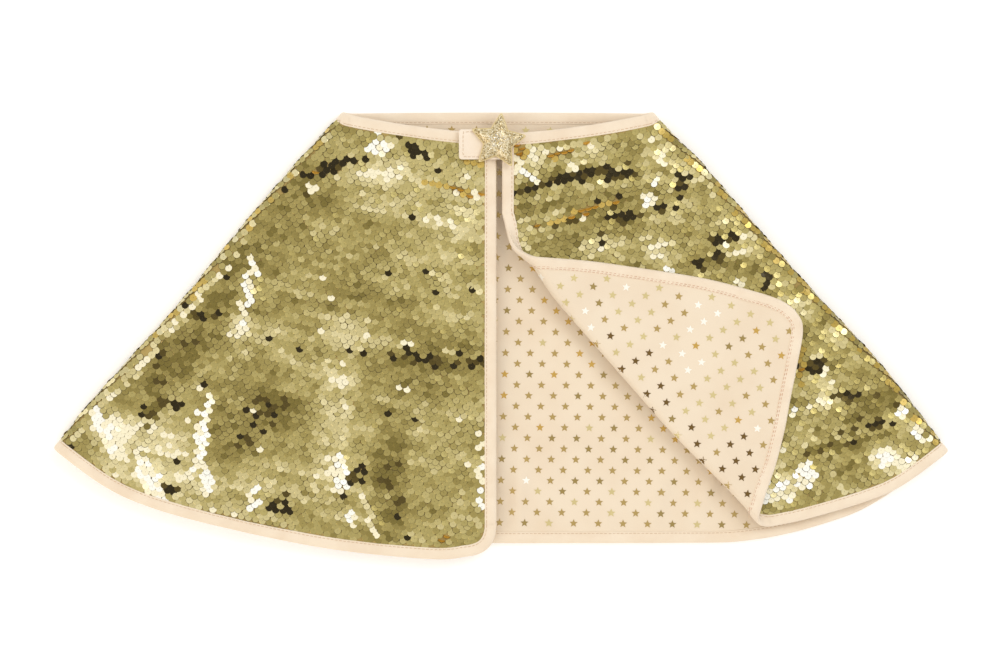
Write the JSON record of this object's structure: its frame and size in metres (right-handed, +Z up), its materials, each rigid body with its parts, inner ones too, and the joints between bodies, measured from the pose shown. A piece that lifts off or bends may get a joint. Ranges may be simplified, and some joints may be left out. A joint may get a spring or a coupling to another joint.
{
  "type": "dress-up cape",
  "caption": "Child's sequinned dress-up cape with printed lining, bound edges, a star closure tab, opening fronts and a folded-back front corner.",
  "frame": {"origin": "under the middle of the bounding box, on the plane that the cape lies on", "axes": "+X across the cape towards the wearer's left side, +Y from the hem to the neck, +Z up, out of the fronts"},
  "size_m": [0.7156, 0.3578, 0.0255],
  "materials": {
    "gold_sequins": "overlapping metallised gold film discs on net",
    "printed_lining": "cream satin with small gold foil stars",
    "binding_tape": "cream bias tape, stitched along its inner edge",
    "tab_cloth": "cream woven cloth",
    "loop_nylon": "brushed nylon loops",
    "hook_nylon": "fine nylon hooks",
    "star_felt": "cream felt",
    "wadding": "white wadding, hidden",
    "glitter_film": "champagne glitter with a welded edge"
  },
  "bodies": {
    "back": {"back_shell": "gold_sequins", "back_lining": "printed_lining", "back_hem_binding": "binding_tape", "back_neck_binding": "binding_tape"},
    "right_front": {"right_front_shell": "gold_sequins", "right_front_lining": "printed_lining", "right_front_hem_binding": "binding_tape", "right_front_edge_binding": "binding_tape", "right_front_neck_binding": "binding_tape", "loop_tape": "loop_nylon"},
    "left_front": {"left_front_shell": "gold_sequins", "left_front_lining": "printed_lining", "left_front_hem_binding": "binding_tape", "left_front_edge_binding": "binding_tape", "left_front_neck_binding": "binding_tape"},
    "flap": {"flap_shell": "gold_sequins", "flap_lining": "printed_lining", "flap_binding": "binding_tape"},
    "tab": {"hook_tape": "hook_nylon", "tab_facing": "tab_cloth", "tab_cover": "tab_cloth", "star_backing": "star_felt", "star_padding": "wadding", "star_cover": "glitter_film"}
  },
  "joints": [
    {"name": "left_front_open", "type": "hinge", "parent": "back", "child": "left_front", "pos_m": [0.1244, 0.17809, 0.00725], "axis": [-0.6518, 0.7584, 0], "range_deg": [0, 150]},
    {"name": "right_front_open", "type": "hinge", "parent": "back", "child": "right_front", "pos_m": [-0.1276, 0.17809, 0.00725], "axis": [-0.6522, -0.7581, 0], "range_deg": [0, 150]},
    {"name": "flap_fold", "type": "hinge", "parent": "left_front", "child": "flap", "pos_m": [0.022, 0.05829, 0.01625], "axis": [0.6469, -0.7626, 0], "range_deg": [0, 178]},
    {"name": "tab_open", "type": "hinge", "parent": "left_front", "child": "tab", "pos_m": [0.0235, 0.15249, 0.0169], "axis": [0, 1, 0], "range_deg": [0, 120]}
  ],
  "couplings": [
    {"joint": "right_front_open", "follows": "left_front_open", "ratio": 1}
  ]
}
